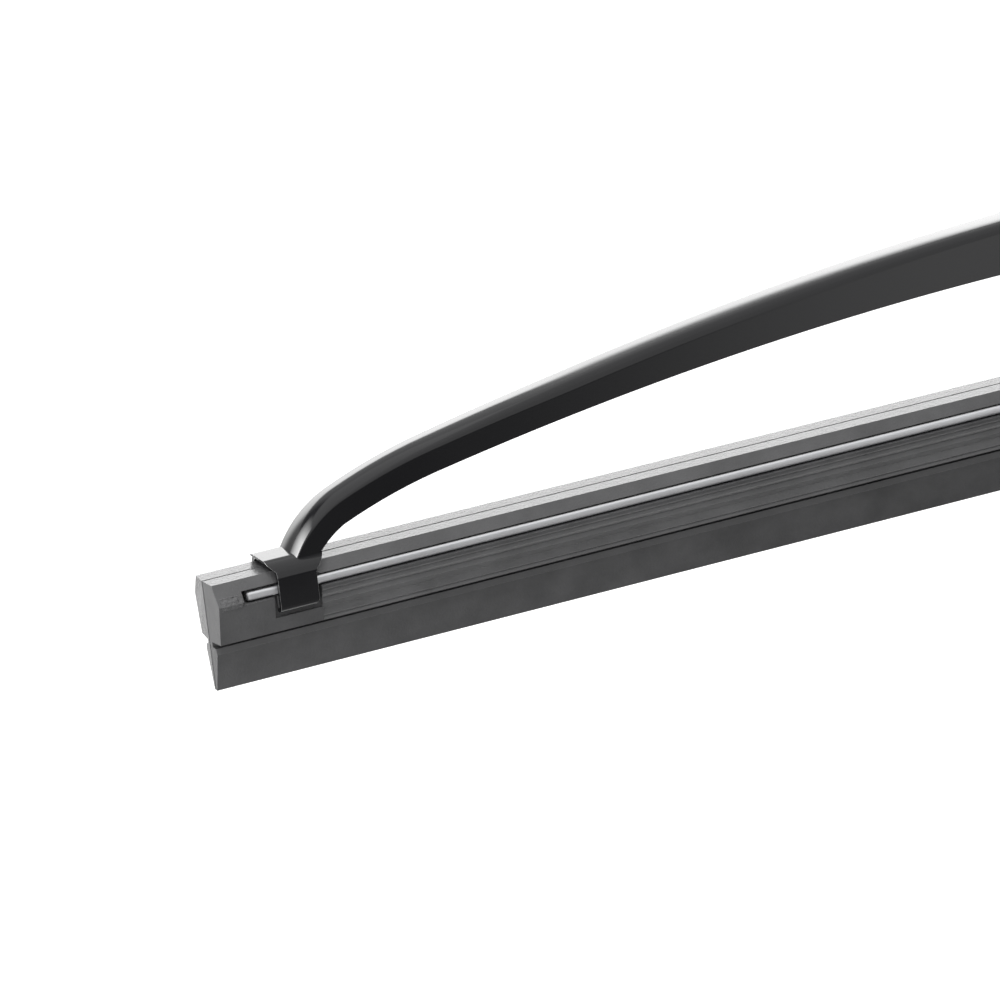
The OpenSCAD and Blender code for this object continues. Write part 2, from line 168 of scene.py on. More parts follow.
def flipped_copy(piece, name, axis):
    """A mirrored copy with its own mesh."""
    copy = piece.copy()
    copy.data = piece.data.copy()
    copy.name = copy.data.name = name
    bpy.context.collection.objects.link(copy)
    nothing_selected()
    copy.select_set(True)
    bpy.context.view_layer.objects.active = copy
    bpy.ops.object.mode_set(mode="EDIT")
    bpy.ops.mesh.select_all(action="SELECT")
    bpy.ops.transform.mirror(constraint_axis=tuple(axis == a for a in "XYZ"), center_override=(0, 0, 0))
    bpy.ops.mesh.select_all(action="SELECT")
    bpy.ops.mesh.normals_make_consistent(inside=False)
    nothing_selected()
    return copy


def join(pieces):
    """Makes one object of several, and keeps the first one's name."""
    nothing_selected()
    for piece in pieces:
        piece.select_set(True)
    bpy.context.view_layer.objects.active = pieces[0]
    bpy.ops.object.join()
    nothing_selected()
    return pieces[0]


def faces_of(piece):
    return len(piece.data.polygons)


def block(name, low, high):
    """A block between two corners given in millimetres."""
    low, high = Vector(low), Vector(high)
    nothing_selected()
    bpy.ops.mesh.primitive_cube_add(size=MM, location=(low + high) / 2 * MM, scale=high - low)
    body = bpy.context.object
    body.name = body.data.name = name
    bpy.ops.object.transform_apply(location=True, rotation=True, scale=True)
    nothing_selected()
    return body


def edit(piece):
    nothing_selected()
    bpy.context.view_layer.objects.active = piece
    piece.select_set(True)
    bpy.ops.object.mode_set(mode="EDIT")


# %% [markdown]
# ## The camera
# The blade was seen from its left end, a little from above, through a long lens that was held slightly
# tilted. A long lens flattens the view, so the camera stands far away for such a small thing. Four angles
# and distances set it: round the blade, above it, the tilt, and the distance to a point on the blade.

# %% Place the camera
left_end = -140
rubber_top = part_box("wiping_rubber")[1].z / MM
look_at = Vector((left_end + 40.845, 0, rubber_top + 0.947)) * MM
round_blade = math.radians(-22.831)
above_blade = math.radians(18.216)
tilt = math.radians(-6.404)
camera_distance = 718.5 * MM
focal_length = 203.8
sensor_width = 36

forward = Vector((
    -math.sin(round_blade) * math.cos(above_blade),
    math.cos(round_blade) * math.cos(above_blade),
    -math.sin(above_blade),
))
level_right = forward.cross(Vector((0, 0, 1))).normalized()
level_up = level_right.cross(forward)
right = level_right * math.cos(tilt) + level_up * math.sin(tilt)
up = level_up * math.cos(tilt) - level_right * math.sin(tilt)

camera_data = bpy.data.cameras.new("camera")
camera_data.lens = focal_length
camera_data.sensor_width = sensor_width
camera_data.clip_start = 0.05
camera_data.clip_end = 20
camera = bpy.data.objects.new("camera", camera_data)
bpy.context.collection.objects.link(camera)
turned = Matrix((right, up, -forward)).transposed().to_4x4()
camera.matrix_world = Matrix.Translation(look_at - forward * camera_distance) @ turned
bpy.context.scene.camera = camera
print("camera at", [round(c, 3) for c in camera.location])

# %% [markdown]
# ## The steel bow
# The bow is one steel sheet. It is pressed to a channel with rounded upper edges and bent to a long arch,
# and it comes down at each end in a steep foot. A curve with a bevel could give the arch, but not a channel
# that grows wider and deeper along its way. So we draw the channel's section at many stations along the
# crest, each with its own width, depth and corner radius, and bridge them from one to the next.

# %% The line of the bow's crest: a long arch, a knee and a steep foot
half_length = 140
crest_height = 22.9
arch_radius = 509
knee_radius = 72
foot_radius = 14.2
knee_x = -(half_length - 31.2)
foot_x = -(half_length - 18.3)


def height_on(centre, radius, x):
    return centre[1] + math.sqrt(radius ** 2 - (x - centre[0]) ** 2)


def next_centre(start, centre, radius):
    """The centre of an arc that goes on from the start without a kink, with its own radius."""
    away = Vector(start) - Vector(centre)
    return Vector(start) - away.normalized() * radius


arch_centre = Vector((0, crest_height - arch_radius))
knee_start = (knee_x, height_on(arch_centre, arch_radius, knee_x))
knee_centre = next_centre(knee_start, arch_centre, knee_radius)
foot_start = (foot_x, height_on(knee_centre, knee_radius, foot_x))
foot_centre = next_centre(foot_start, knee_centre, foot_radius)


def crest(x):
    """Height of the crest above the rubber, in millimetres, on the left half."""
    if x > knee_x:
        return height_on(arch_centre, arch_radius, x)
    if x > foot_x:
        return height_on(knee_centre, knee_radius, x)
    return height_on(foot_centre, foot_radius, x)


def slope(x):
    return (crest(x + 0.1) - crest(x - 0.1)) / 0.2


print("crest at the knee:", round(crest(knee_x), 2), "at the foot:", round(crest(foot_x), 2))

# %% Width and depth of the channel along the bow
foot_width, arch_width, housing_width = 5.75, 6.0, 12.8
foot_depth, arch_depth, housing_depth = 2.95, 6.7, 9.5
housing_half = 15.75
flare_length = 8.5
arch_end = -(housing_half + flare_length)


def blend(low, high, share):
    return low + (high - low) * max(0, min(1, share))


def flare(x):
    """How far the bow has spread into its housing: 0 on the arch and 1 at the middle."""
    share = max(0, min(1, (x - arch_end) / flare_length))
    return share * share * (3 - 2 * share)


def half_width(x):
    plain = blend(foot_width, arch_width, (x - foot_x) / (arch_end - foot_x))
    return blend(plain, housing_width, flare(x)) / 2


def side_depth(x):
    plain = blend(foot_depth, arch_depth, (x - foot_x) / (arch_end - foot_x))
    return blend(plain, housing_depth, flare(x)) * math.sqrt(1 + slope(x) ** 2)


def spread(first, last, count, bias=1.0):
    """Stations from first to last, closer together near the first where the bias is above 1."""
    return [first + (last - first) * (i / count) ** bias for i in range(count)]


foot_low_x = foot_centre.x - math.sqrt(foot_radius ** 2 - (-2 - foot_centre.y) ** 2)
stations = (spread(foot_low_x, foot_x, 14) + spread(foot_x, knee_x, 7) + spread(knee_x, arch_end, 24)
            + spread(arch_end, -housing_half, 14) + [-housing_half, 0])
print("stations:", len(stations), "from", round(stations[0], 2))


# %% Select edges by their place
def choose_edges(piece, wanted):
    """Selects the edges of the piece being edited whose two ends pass a test, in millimetres."""
    bpy.ops.mesh.select_mode(type="EDGE")
    bpy.ops.mesh.select_all(action="DESELECT")
    mesh = bmesh.from_edit_mesh(piece.data)
    for edge in mesh.edges:
        a, b = (v.co / MM for v in edge.verts)
        edge.select = wanted(a, b)
    mesh.select_flush_mode()
    bmesh.update_edit_mesh(piece.data)
    return sum(edge.select for edge in mesh.edges)


# %% The channel's section at one station
sheet = 0.65
foot_edge_radius, edge_radius = 0.35, 1.3
foot_camber, arch_camber = 0.6, 0.045
foot_rise = 0.1
plate_gap = 0.55
plate_top = plate_gap + sheet


def at_height(z):
    return rubber_top + z


def pressed(foot_value, arch_value, x):
    """A value of the section that changes from the foot to the first third of the arch, and then stays."""
    return blend(foot_value, arch_value, 3 * (x - foot_x) / (arch_end - foot_x))


def arc(centre, radius, first, last, count):
    """Points of an arc, from one angle to another in degrees."""
    turns = [math.radians(first + (last - first) * i / count) for i in range(count + 1)]
    return [(centre[0] + radius * math.cos(t), centre[1] + radius * math.sin(t)) for t in turns]


def section_line(x):
    """From the near lower edge over the crown to the far one. The crown runs into both round corners."""
    w, r = half_width(x), pressed(foot_edge_radius, edge_radius, x)
    camber = pressed(foot_camber, arch_camber, x)
    top, low = at_height(crest(x) + pressed(foot_rise, 0, x)), at_height(crest(x) - side_depth(x))
    crown_end = w - r
    for _ in range(6):
        lean = math.atan(2 * camber / crown_end)
        crown_end = w - r * (1 - math.sin(lean))
    corner_centre = (crown_end - r * math.sin(lean), top - r * math.cos(lean))
    corner = arc(corner_centre, r, 0, 90 - math.degrees(lean), 7)
    crown = [(crown_end * t, top + camber * (1 - t * t)) for t in (0.8, 0.6, 0.4, 0.2)]
    half = [(w, low)] + corner + crown
    return [(x, -y, z) for y, z in half] + [(x, 0, top + camber)] + [(x, y, z) for y, z in reversed(half)]


print("points in a section:", len(section_line(foot_x)))

# %% Draw the sections and bridge them
sections = [trace("bow_sheet", section_line(x)) for x in stations]
bow = join(sections)
edit(bow)
bpy.ops.mesh.select_mode(type="EDGE")
bpy.ops.mesh.select_all(action="SELECT")
bpy.ops.mesh.bridge_edge_loops()
nothing_selected()
print("channel faces:", faces_of(bow), "of", (len(stations) - 1) * (len(section_line(foot_x)) - 1))

# %% Trim the foot, mirror the half bow and give the sheet its thickness
skirt_drop = 0.35
edit(bow)
bpy.ops.mesh.select_all(action="SELECT")
trim_height = Vector((0, 0, at_height(plate_gap - skirt_drop))) * MM
bpy.ops.mesh.bisect(plane_co=trim_height, plane_no=(0, 0, 1), clear_inner=True)
outward(bow)
finish_with(bow, "MIRROR", use_axis=(True, False, False), merge_threshold=0.01 * MM)
crown_faces = [face for face in bow.data.polygons if abs(face.center.x) < 0.01 and face.normal.z ** 2 > 0.5]
if crown_faces and crown_faces[0].normal.z < 0:
    edit(bow)
    bpy.ops.mesh.select_all(action="SELECT")
    bpy.ops.mesh.flip_normals()
    nothing_selected()
finish_with(bow, "SOLIDIFY", thickness=sheet * MM, offset=-1, use_even_offset=True, use_quality_normals=True)
print("bow:", faces_of(bow), "faces")

# %% [markdown]
# The middle of the bow is open on top, for the adapter, and a rivet goes through its two walls. Both
# openings are cut with a tool of their form: a block with round corners, and a cylinder.

# %% Cut the window and the rivet's bore
window_length, window_width, window_corner = 30.4, 11.3, 1.5
rivet_bore_d = 5.04


def upright(a, b):
    return abs(a.z - b.z) > 0.1 and (a - b).xy.length < 0.01


window = block("window", (-window_length / 2, -window_width / 2, at_height(crest_height) - edge_radius),
               (window_length / 2, window_width / 2, at_height(crest_height) + 1))
edit(window)
choose_edges(window, upright)
bpy.ops.mesh.bevel(offset=window_corner * MM, segments=8, affect="EDGES")
nothing_selected()
carve(bow, window)

bpy.ops.mesh.primitive_cylinder_add(vertices=64, radius=rivet_bore_d / 2 * MM,
                                    depth=2 * housing_width * MM, rotation=(math.pi / 2, 0, 0))
bore = bpy.context.object
bpy.ops.object.transform_apply(rotation=True)
carve(bow, bore)
print("bow with its openings:", faces_of(bow), "faces")

# %% [markdown]
# ## The claws
# At each end the sheet spreads to a claw: a flat plate over the rubber, two sloping shoulders, and two
# flaps that reach down into the rubber's sides. It is a strip bent along four lines. We draw the strip's
# section from one lip to the other, pull it along the blade, bevel the bends, thicken it, and then keep
# only what lies inside the claw's side view, with its slanted front and its round corner.

# %% Bend the claw's strip
flap_inside = 3.65
flap_outside = flap_inside + sheet
flap_reach = 5.3
flap_hook = 0.7
plate_width = 4.9
shoulder_drop = 1.1
flap_top = plate_top - shoulder_drop
flap_start, flap_length = 8.1, 5.25
claw_front = left_end + 7.4
flap_front = left_end + flap_start
flap_back = flap_front + flap_length
throat_x = foot_x - 0.3
bend_radius = sheet + 0.25

half_strip = [
    (flap_inside - flap_hook, -flap_reach),
    (flap_outside, -flap_reach),
    (flap_outside, flap_top),
    (plate_width / 2, plate_top),
]
strip = half_strip + [(-y, z) for y, z in reversed(half_strip)]
past = 1
claw = trace("claw_left", [(claw_front - past, y, at_height(z)) for y, z in strip])
pull((throat_x - claw_front + 2 * past, 0, 0))


def at_bend(a, b):
    lengthwise = abs(a.x - b.x) > 1
    off_the_lip = abs(a.y) > flap_inside - flap_hook + 0.01
    return lengthwise and (off_the_lip or a.z > at_height(flap_top))


print("bends:", choose_edges(claw, at_bend))
bpy.ops.mesh.bevel(offset=bend_radius * MM, segments=6, affect="EDGES", clamp_overlap=True)
outward(claw)
finish_with(claw, "SOLIDIFY", thickness=sheet * MM, offset=-1, use_even_offset=True, use_quality_normals=True)
print("claw strip:", faces_of(claw), "faces")


# %% Cut the claw to its side view
flap_corner = 1.1
throat_radius = 1.1
throat_z = crest(throat_x) - side_depth(throat_x)
throat_z = max(throat_z, plate_gap - skirt_drop) + 0.3
corner = (flap_back - flap_corner, -flap_reach + flap_corner)
claw_view = [
    (flap_front, -flap_reach - 0.02),
    (flap_front, flap_top),
    (claw_front, plate_top - sheet / 2),
    (claw_front, throat_z + past),
    (throat_x, throat_z + past),
    (throat_x, throat_z),
    *arc((flap_back + throat_radius, -throat_radius), throat_radius, 130, 180, 4),
    *arc(corner, flap_corner, 0, -90, 6),
]
keep = outline_body("keep", [(x, -flap_outside - past, at_height(z)) for x, z in claw_view],
                    (0, 2 * (flap_outside + past), 0))
carve(claw, keep, "INTERSECT")
plate_end_x = foot_centre.x - math.sqrt(foot_radius ** 2 - (plate_top + sheet - foot_centre.y) ** 2)
throat_half = (foot_width - sheet) / 2
carve(claw, block("throat", (plate_end_x, -throat_half, at_height(-past)),
                  (throat_x + 2 * past, throat_half, at_height(plate_top + past))))
print("claw:", faces_of(claw), "faces")

# %% Round the sheet's cut edges and join bow and claws
cut_edge = 0.13
black_paint = bpy.data.materials.new("black_paint")
# The cut edges get a lighter paint that is partly metal: thinner paint there, made lighter still as a painted
# highlight along the edges.
edge_paint_and_painted_highlight = bpy.data.materials.new("cut_edge_paint_with_painted_highlight")
for piece in (bow, claw):
    piece.data.materials.append(black_paint)
    piece.data.materials.append(edge_paint_and_painted_highlight)
soften(bow, 0.1, segments=2, angle=50)
# The claw's rounded cut edges take the lighter edge paint, which is partly a painted highlight.
soften(claw, cut_edge, segments=3, angle=50, material=1)
other_claw = flipped_copy(claw, "claw_right", "X")
carve(bow, claw, "UNION")
carve(bow, other_claw, "UNION")
smooth(bow, 38)
flat_faces(bow)
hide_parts("bow")
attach(bow, "blade")
print("finished bow:", faces_of(bow), "faces")

# %% [markdown]
# ## The rubber
# The rubber is one moulding with the same section along its whole length: a broad head, a thin neck and a
# lip that narrows to the wiping edge. So half the section is drawn, mirrored in code to a whole outline,
# and pulled from end to end. What isn't the same along the length comes after it: the grooves and ridges
# stop at a plain block at each end, and the claws sit in shallow recesses.

# %% Draw the rubber's section and pull it to its length
top_width, head_width, head_foot_width = 5.2, 8.1, 6.3
widest_depth, head_height, rubber_height = 2.6, 7.8, 14.5
neck_width, slit_height = 1.4, 0.75
lip_width, lip_shoulder, lip_edge = 3.6, 0.85, 0.8
mould_line = 0.3
lip_top = head_height + slit_height

half_section = [
    (mould_line / 2, 0),
    (top_width / 2, 0),
    (head_width / 2, -widest_depth),
    (head_foot_width / 2, -head_height),
    (neck_width / 2, -head_height - 0.1),
    (neck_width / 2, -lip_top),
    (lip_width / 2 - 0.25, -lip_top - 0.1),
    (lip_width / 2, -lip_top - lip_shoulder),
    (lip_edge / 2, -rubber_height),
]
section = [(0, -mould_line)] + half_section + [(-y, z) for y, z in reversed(half_section)]
reach = half_length + past
rubber = outline_body("rubber_moulding", [(-reach, y, at_height(z)) for y, z in section], (2 * reach, 0, 0))
print("rubber:", faces_of(rubber), "faces")


# %% Grooves, ridges and recesses of one side
def head_side(depth):
    """Half-width of the head at a depth below its top."""
    if depth < widest_depth:
        return blend(top_width, head_width, depth / widest_depth) / 2
    return blend(head_width, head_foot_width, (depth - widest_depth) / (head_height - widest_depth)) / 2


rail_depth, rail_thickness, rail_width = 1.7, 1.15, 2.5
rail_play = 0.03
rail_outside = flap_inside - 0.05
groove_step = 1.3
groove_top, groove_low = rail_depth - 0.2, rail_depth + rail_thickness + 0.2
pocket_top = rail_depth - 0.35
groove_end = half_length - 3.4
recess_start, recess_end = 7.5, flap_start + flap_length + 0.6
recess_low = flap_reach + 0.6
well_face = flap_inside - 0.75
furrows = [(3.3, 0.04), (3.55, 0), (3.9, 0.22), (4.3, 0.04), (4.85, 0.34), (5.4, 0.1), (6.2, 0.36),
           (7.1, 0.06), (7.4, 0.2), (7.7, 0)]


def side_bar(name, points, half):
    return outline_body(name, [(-half, y, at_height(z)) for y, z in points], (2 * half, 0, 0))


def side_block(name, x0, x1, y0, z0, z1):
    return block(name, (x0, y0, at_height(z0)), (x1, head_width / 2 + past, at_height(z1)))


slot_low = at_height(-rail_depth - rail_thickness - rail_play)
slot = block("slot", (-groove_end, rail_outside - rail_width - rail_play, slot_low),
             (groove_end, rail_outside, at_height(-rail_depth + rail_play)))
groove = side_block("groove", -groove_end, groove_end, rail_outside - groove_step, -groove_low, -groove_top)
furrow_line = [(head_side(depth) - cut, -depth) for depth, cut in furrows]
furrow_line = [(furrow_line[0][0] + past, furrow_line[0][1])] + furrow_line
furrow_line = furrow_line + [(furrow_line[-1][0] + past, furrow_line[-1][1])]
furrow_bar = side_bar("furrows", furrow_line, half_length - recess_end)
print("furrow points:", len(furrow_line))

# %% [markdown]
# Where a claw sits, the head is cut back to the flap's inner face. Round the flap the cut goes deeper, to a
# narrow well. Only the block that the flap's turned-in lip carries is left standing in it.

# %% Make the claw's recess and the end pocket of the left end, and mirror them to the right
hold_low = -flap_reach + sheet + 0.05
recess_x = (left_end + recess_start, left_end + recess_end)
recess = side_block("recess", *recess_x, rail_outside, -recess_low, past)
well = side_block("well", *recess_x, well_face, -recess_low, -groove_low)
hold = block("hold", (flap_front - 0.1, well_face - past, at_height(hold_low)),
             (flap_back + 0.1, rail_outside, at_height(0)))
carve(well, hold)
pocket = side_block("pocket", -groove_end, recess_x[1], rail_outside - groove_step, -groove_low, -pocket_top)
left_tools = [recess, well, pocket]
right_tools = [flipped_copy(tool, tool.name + "_right", "X") for tool in left_tools]
print("tools for the recesses:", len(left_tools + right_tools))

# %% Cut both sides
pad_top, pad_low, pad_rise, pad_root = 1.65, 3.2, 0.1, 0.5
pad_inset, pad_length = 0.4, 2.8
pad_line = [
    (head_side(pad_top) - pad_root, -pad_top),
    (head_side(pad_top) + pad_rise, -pad_top),
    (head_width / 2 + pad_rise, -widest_depth),
    (head_side(pad_low) + pad_rise, -pad_low),
    (head_side(pad_low) - pad_root, -pad_low),
]
pad = outline_body("pad", [(left_end + pad_inset, y, at_height(z)) for y, z in pad_line], (pad_length, 0, 0))
pads = [pad, flipped_copy(pad, "pad_right", "X")]
pads += [flipped_copy(one, one.name + "_far", "Y") for one in pads]
for one in pads:
    carve(rubber, one, "UNION")
tools = [slot, groove, furrow_bar] + left_tools + right_tools
tools += [flipped_copy(tool, tool.name + "_far", "Y") for tool in tools]
for tool in tools:
    carve(rubber, tool)
print("rubber with grooves:", faces_of(rubber), "faces")

# %% Close the ends as a shallow wedge with the mould line at its tip
end_nose = 0.33
wide = head_width / 2 + past
set_back = end_nose * wide / (head_width / 2)
tip = half_length + end_nose
end_half = [(tip - set_back, wide), (tip, mould_line / 2), (tip - mould_line, 0), (tip, -mould_line / 2),
            (tip - set_back, -wide)]
plan = end_half + [(-x, y) for x, y in reversed(end_half)]
ends = outline_body("ends", [(x, y, at_height(-rubber_height - past)) for x, y in plan],
                    (0, 0, rubber_height + 2 * past))
carve(rubber, ends, "INTERSECT")
dark_rubber = bpy.data.materials.new("dark_rubber")
# The rubber's rounded edges get a lighter rubber: a painted highlight along them.
rubber_edge_highlight = bpy.data.materials.new("rubber_edges_painted_highlight")
rubber.data.materials.clear()
rubber.data.materials.append(dark_rubber)
rubber.data.materials.append(rubber_edge_highlight)
# The new faces of the rounded edges take the lighter rubber, a painted highlight.
soften(rubber, 0.1, segments=2, angle=25, material=1)
flat_faces(rubber)
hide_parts("wiping_rubber")
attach(rubber, "blade")
print("finished rubber:", faces_of(rubber), "faces")

# %% [markdown]
# ## The steel rails
# A flat steel strip lies in the groove on each side of the rubber and keeps it straight. Its outer corners
# are rounded so that it can be pushed in from the end. It is drawn in plan and pulled up by its thickness.

# %% Draw one rail and mirror it
rail_reach = groove_end - 0.6
rail_corner = 0.6
inner_y = -rail_outside + rail_width
corner_y = -rail_outside + rail_corner
rail_plan = (
    [(rail_reach, inner_y), (-rail_reach, inner_y)]
    + arc((-rail_reach + rail_corner, corner_y), rail_corner, 180, 270, 6)
    + arc((rail_reach - rail_corner, corner_y), rail_corner, 270, 360, 6)
)
rail_low = at_height(-rail_depth - rail_thickness)
rail_outline = [(x, y, rail_low) for x, y in rail_plan]
front_rail = outline_body("front_rail_strip", rail_outline, (0, 0, rail_thickness))
soften(front_rail, 0.32, segments=4, angle=60)
rear_rail = flipped_copy(front_rail, "rear_rail_strip", "Y")
for rail, node in ((front_rail, "front_rail"), (rear_rail, "rear_rail")):
    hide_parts(node)
    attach(rail, "blade")
print("rail:", faces_of(front_rail), "faces")

# %% [markdown]
# ## Finishes
# All materials are procedural and read Object coordinates, so a pattern stays on its piece. Two effects are
# shared, so one node group gives both: a fine grain that stands for the skin of a moulding or of sprayed
# paint, and broad blotches that stand for handling marks, which change the colour and the gloss.


# %% A node group for grain and blotches
def new_group(name, inputs, outputs):
    group = bpy.data.node_groups.new(name, "ShaderNodeTree")
    for label, value in inputs.items():
        socket = group.interface.new_socket(label, in_out="INPUT", socket_type="NodeSocketFloat")
        socket.default_value = value
    for label in outputs:
        group.interface.new_socket(label, in_out="OUTPUT", socket_type="NodeSocketFloat")
    start = group.nodes.new("NodeGroupInput")
    end = group.nodes.new("NodeGroupOutput")
    return group, start, end


surface, surface_in, surface_out = new_group(
    "surface_skin", {"Grain Size": 0.3, "Blotch Size": 12.0}, ["Grain", "Blotches"])
place = surface.nodes.new("ShaderNodeTexCoord")
for label, detail in (("Grain", 3.0), ("Blotch", 4.0)):
    divide = surface.nodes.new("ShaderNodeMath")
    divide.operation = "DIVIDE"
    divide.inputs[0].default_value = 1000.0
    surface.links.new(surface_in.outputs[label + " Size"], divide.inputs[1])
    noise = surface.nodes.new("ShaderNodeTexNoise")
    noise.inputs["Detail"].default_value = detail
    surface.links.new(place.outputs["Object"], noise.inputs["Vector"])
    surface.links.new(divide.outputs[0], noise.inputs["Scale"])
    surface.links.new(noise.outputs["Fac"], surface_out.inputs["Blotches" if label == "Blotch" else "Grain"])
print("group sockets:", [socket.name for socket in surface.interface.items_tree])


# %% A material from a few numbers
def finish_material(material, colour, dark, light, rough, bump, grain_size, blotch_size, metallic=0.0,
                    level=0.5):
    """A Principled surface: its colour and roughness follow the blotches, and its bump the grain."""
    material.use_nodes = True
    tree = material.node_tree
    shader = tree.nodes["Principled BSDF"]
    shader.inputs["Metallic"].default_value = metallic
    shader.inputs["Specular IOR Level"].default_value = level
    skin = tree.nodes.new("ShaderNodeGroup")
    skin.node_tree = surface
    skin.inputs["Grain Size"].default_value = grain_size
    skin.inputs["Blotch Size"].default_value = blotch_size
    tint = tree.nodes.new("ShaderNodeMapRange")
    tint.inputs["To Min"].default_value = dark
    tint.inputs["To Max"].default_value = light
    tree.links.new(skin.outputs["Blotches"], tint.inputs["Value"])
    shade = tree.nodes.new("ShaderNodeMix")
    shade.data_type = "RGBA"
    shade.blend_type = "MULTIPLY"
    shade.inputs["Factor"].default_value = 1.0
    shade.inputs["A"].default_value = (*colour, 1.0)
    tree.links.new(tint.outputs["Result"], shade.inputs["B"])
    tree.links.new(shade.outputs["Result"], shader.inputs["Base Color"])
    gloss = tree.nodes.new("ShaderNodeMapRange")
    gloss.inputs["To Min"].default_value = rough[0]
    gloss.inputs["To Max"].default_value = rough[1]
    tree.links.new(skin.outputs["Blotches"], gloss.inputs["Value"])
    tree.links.new(gloss.outputs["Result"], shader.inputs["Roughness"])
    relief = tree.nodes.new("ShaderNodeBump")
    relief.inputs["Strength"].default_value = 1.0
    relief.inputs["Distance"].default_value = bump * MM
    tree.links.new(skin.outputs["Grain"], relief.inputs["Height"])
    tree.links.new(relief.outputs["Normal"], shader.inputs["Normal"])
    return material


def dress(piece, material):
    piece.data.materials.clear()
    piece.data.materials.append(material)


new_material = bpy.data.materials.new
finish_material(black_paint, (0.008, 0.008, 0.009), 0.8, 1.2, (0.08, 0.13), 0.001, 0.8, 14, level=0.42)
# Light grey, partly metal paint for the cut edges; its lightness is partly a painted highlight.
finish_material(edge_paint_and_painted_highlight, (0.45, 0.45, 0.45), 0.5, 1.2, (0.35, 0.5), 0.004, 0.4, 3, 0.7)
finish_material(dark_rubber, (0.088, 0.088, 0.09), 0.6, 1.35, (0.2, 0.3), 0.04, 0.35, 5, level=0.42)
# Lighter rubber for the rounded edges: a painted highlight.
finish_material(rubber_edge_highlight, (0.15, 0.15, 0.152), 0.7, 1.3, (0.25, 0.35), 0.02, 0.35, 3, level=0.5)
rail_steel = finish_material(new_material("rail_steel"), (0.7, 0.705, 0.72), 0.9, 1.1, (0.4, 0.5), 0.006, 0.4,
                             6, 1.0)
rivet_steel = finish_material(new_material("rivet_steel"), (0.36, 0.37, 0.39), 0.8, 1.1, (0.42, 0.55), 0.01,
                              0.5, 4, 1.0)
adapter_plastic = finish_material(new_material("adapter_plastic"), (0.03, 0.03, 0.032), 0.9, 1.1, (0.4, 0.5),
                                  0.02, 0.4, 8)
dress(front_rail, rail_steel)
dress(rear_rail, rail_steel)
dress(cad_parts["pivot_rivet"], rivet_steel)
dress(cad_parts["arm_adapter"], adapter_plastic)
print("materials:", [m.name for m in bpy.data.materials if m.users])

# %% [markdown]
# Near each end the moulding has a small pad with a rough face. Its relief is too fine for the mesh, so a
# second bump follows a coarse noise, and a mask limits it to the pad's place.


# %% Roughen the pads
def rough_patch(material, x_range, z_range, size, height):
    """Adds a coarse bump between two distances from the middle and between two heights, in millimetres."""
    tree = material.node_tree
    shader = tree.nodes["Principled BSDF"]
    where = tree.nodes.new("ShaderNodeTexCoord")
    split = tree.nodes.new("ShaderNodeSeparateXYZ")
    tree.links.new(where.outputs["Object"], split.inputs[0])
    outward_x = tree.nodes.new("ShaderNodeMath")
    outward_x.operation = "ABSOLUTE"
    tree.links.new(split.outputs["X"], outward_x.inputs[0])
    noise = tree.nodes.new("ShaderNodeTexNoise")
    noise.inputs["Scale"].default_value = 1 / (size * MM)
    tree.links.new(where.outputs["Object"], noise.inputs["Vector"])
    relief = noise.outputs["Fac"]
    for value, (low, high) in ((outward_x.outputs[0], x_range), (split.outputs["Z"], z_range)):
        inside = tree.nodes.new("ShaderNodeMath")
        inside.operation = "COMPARE"
        inside.inputs[1].default_value = (low + high) / 2 * MM
        inside.inputs[2].default_value = (high - low) / 2 * MM
        tree.links.new(value, inside.inputs[0])
        masked = tree.nodes.new("ShaderNodeMath")
        masked.operation = "MULTIPLY"
        tree.links.new(relief, masked.inputs[0])
        tree.links.new(inside.outputs[0], masked.inputs[1])
        relief = masked.outputs[0]
    rough = tree.nodes.new("ShaderNodeBump")
    rough.inputs["Distance"].default_value = height * MM
    tree.links.new(relief, rough.inputs["Height"])
    tree.links.new(shader.inputs["Normal"].links[0].from_socket, rough.inputs["Normal"])
    tree.links.new(rough.outputs["Normal"], shader.inputs["Normal"])


pad_x = (half_length - 3.2, half_length - 0.4)
pad_z = (at_height(-pad_low), at_height(-1.7))
rough_patch(dark_rubber, pad_x, pad_z, 0.5, 0.35)
print("rough pads in:", dark_rubber.name)

# %% [markdown]
# ## Light and surroundings
# The photograph has a plain white surround and no shadow, and its surfaces are brightest where they look
# back and up: the blade stood in front of a large lit sheet. So one large card glows behind the blade and
# one hangs above it. A bright card at the upper left draws the highlight on the foot of the bow. A dim
# card in front, darker to the left, is what the black side walls reflect, and another one below shades
# the underside. The cards behind, at the upper left and in front show only in reflections. Two soft
# cards, above and at the left, do the opposite: they light the surfaces and don't show in reflections.
# They are kept weak, so that a colour comes out not far from how it is written: lighter on open tops,
# darker on the lip. The surround is white only for rays that come straight from the camera or from a
# glossy or clear surface. All other rays see a dimmer room, so it doesn't light the blade too much.


# %% The surround
def seen_ray(tree):
    """1 for camera, glossy and transmission rays, and 0 for all others."""
    path = tree.nodes.new("ShaderNodeLightPath")
    total = path.outputs["Is Camera Ray"]
    for label in ("Is Glossy Ray", "Is Transmission Ray"):
        add = tree.nodes.new("ShaderNodeMath")
        add.use_clamp = True
        tree.links.new(total, add.inputs[0])
        tree.links.new(path.outputs[label], add.inputs[1])
        total = add.outputs[0]
    return total


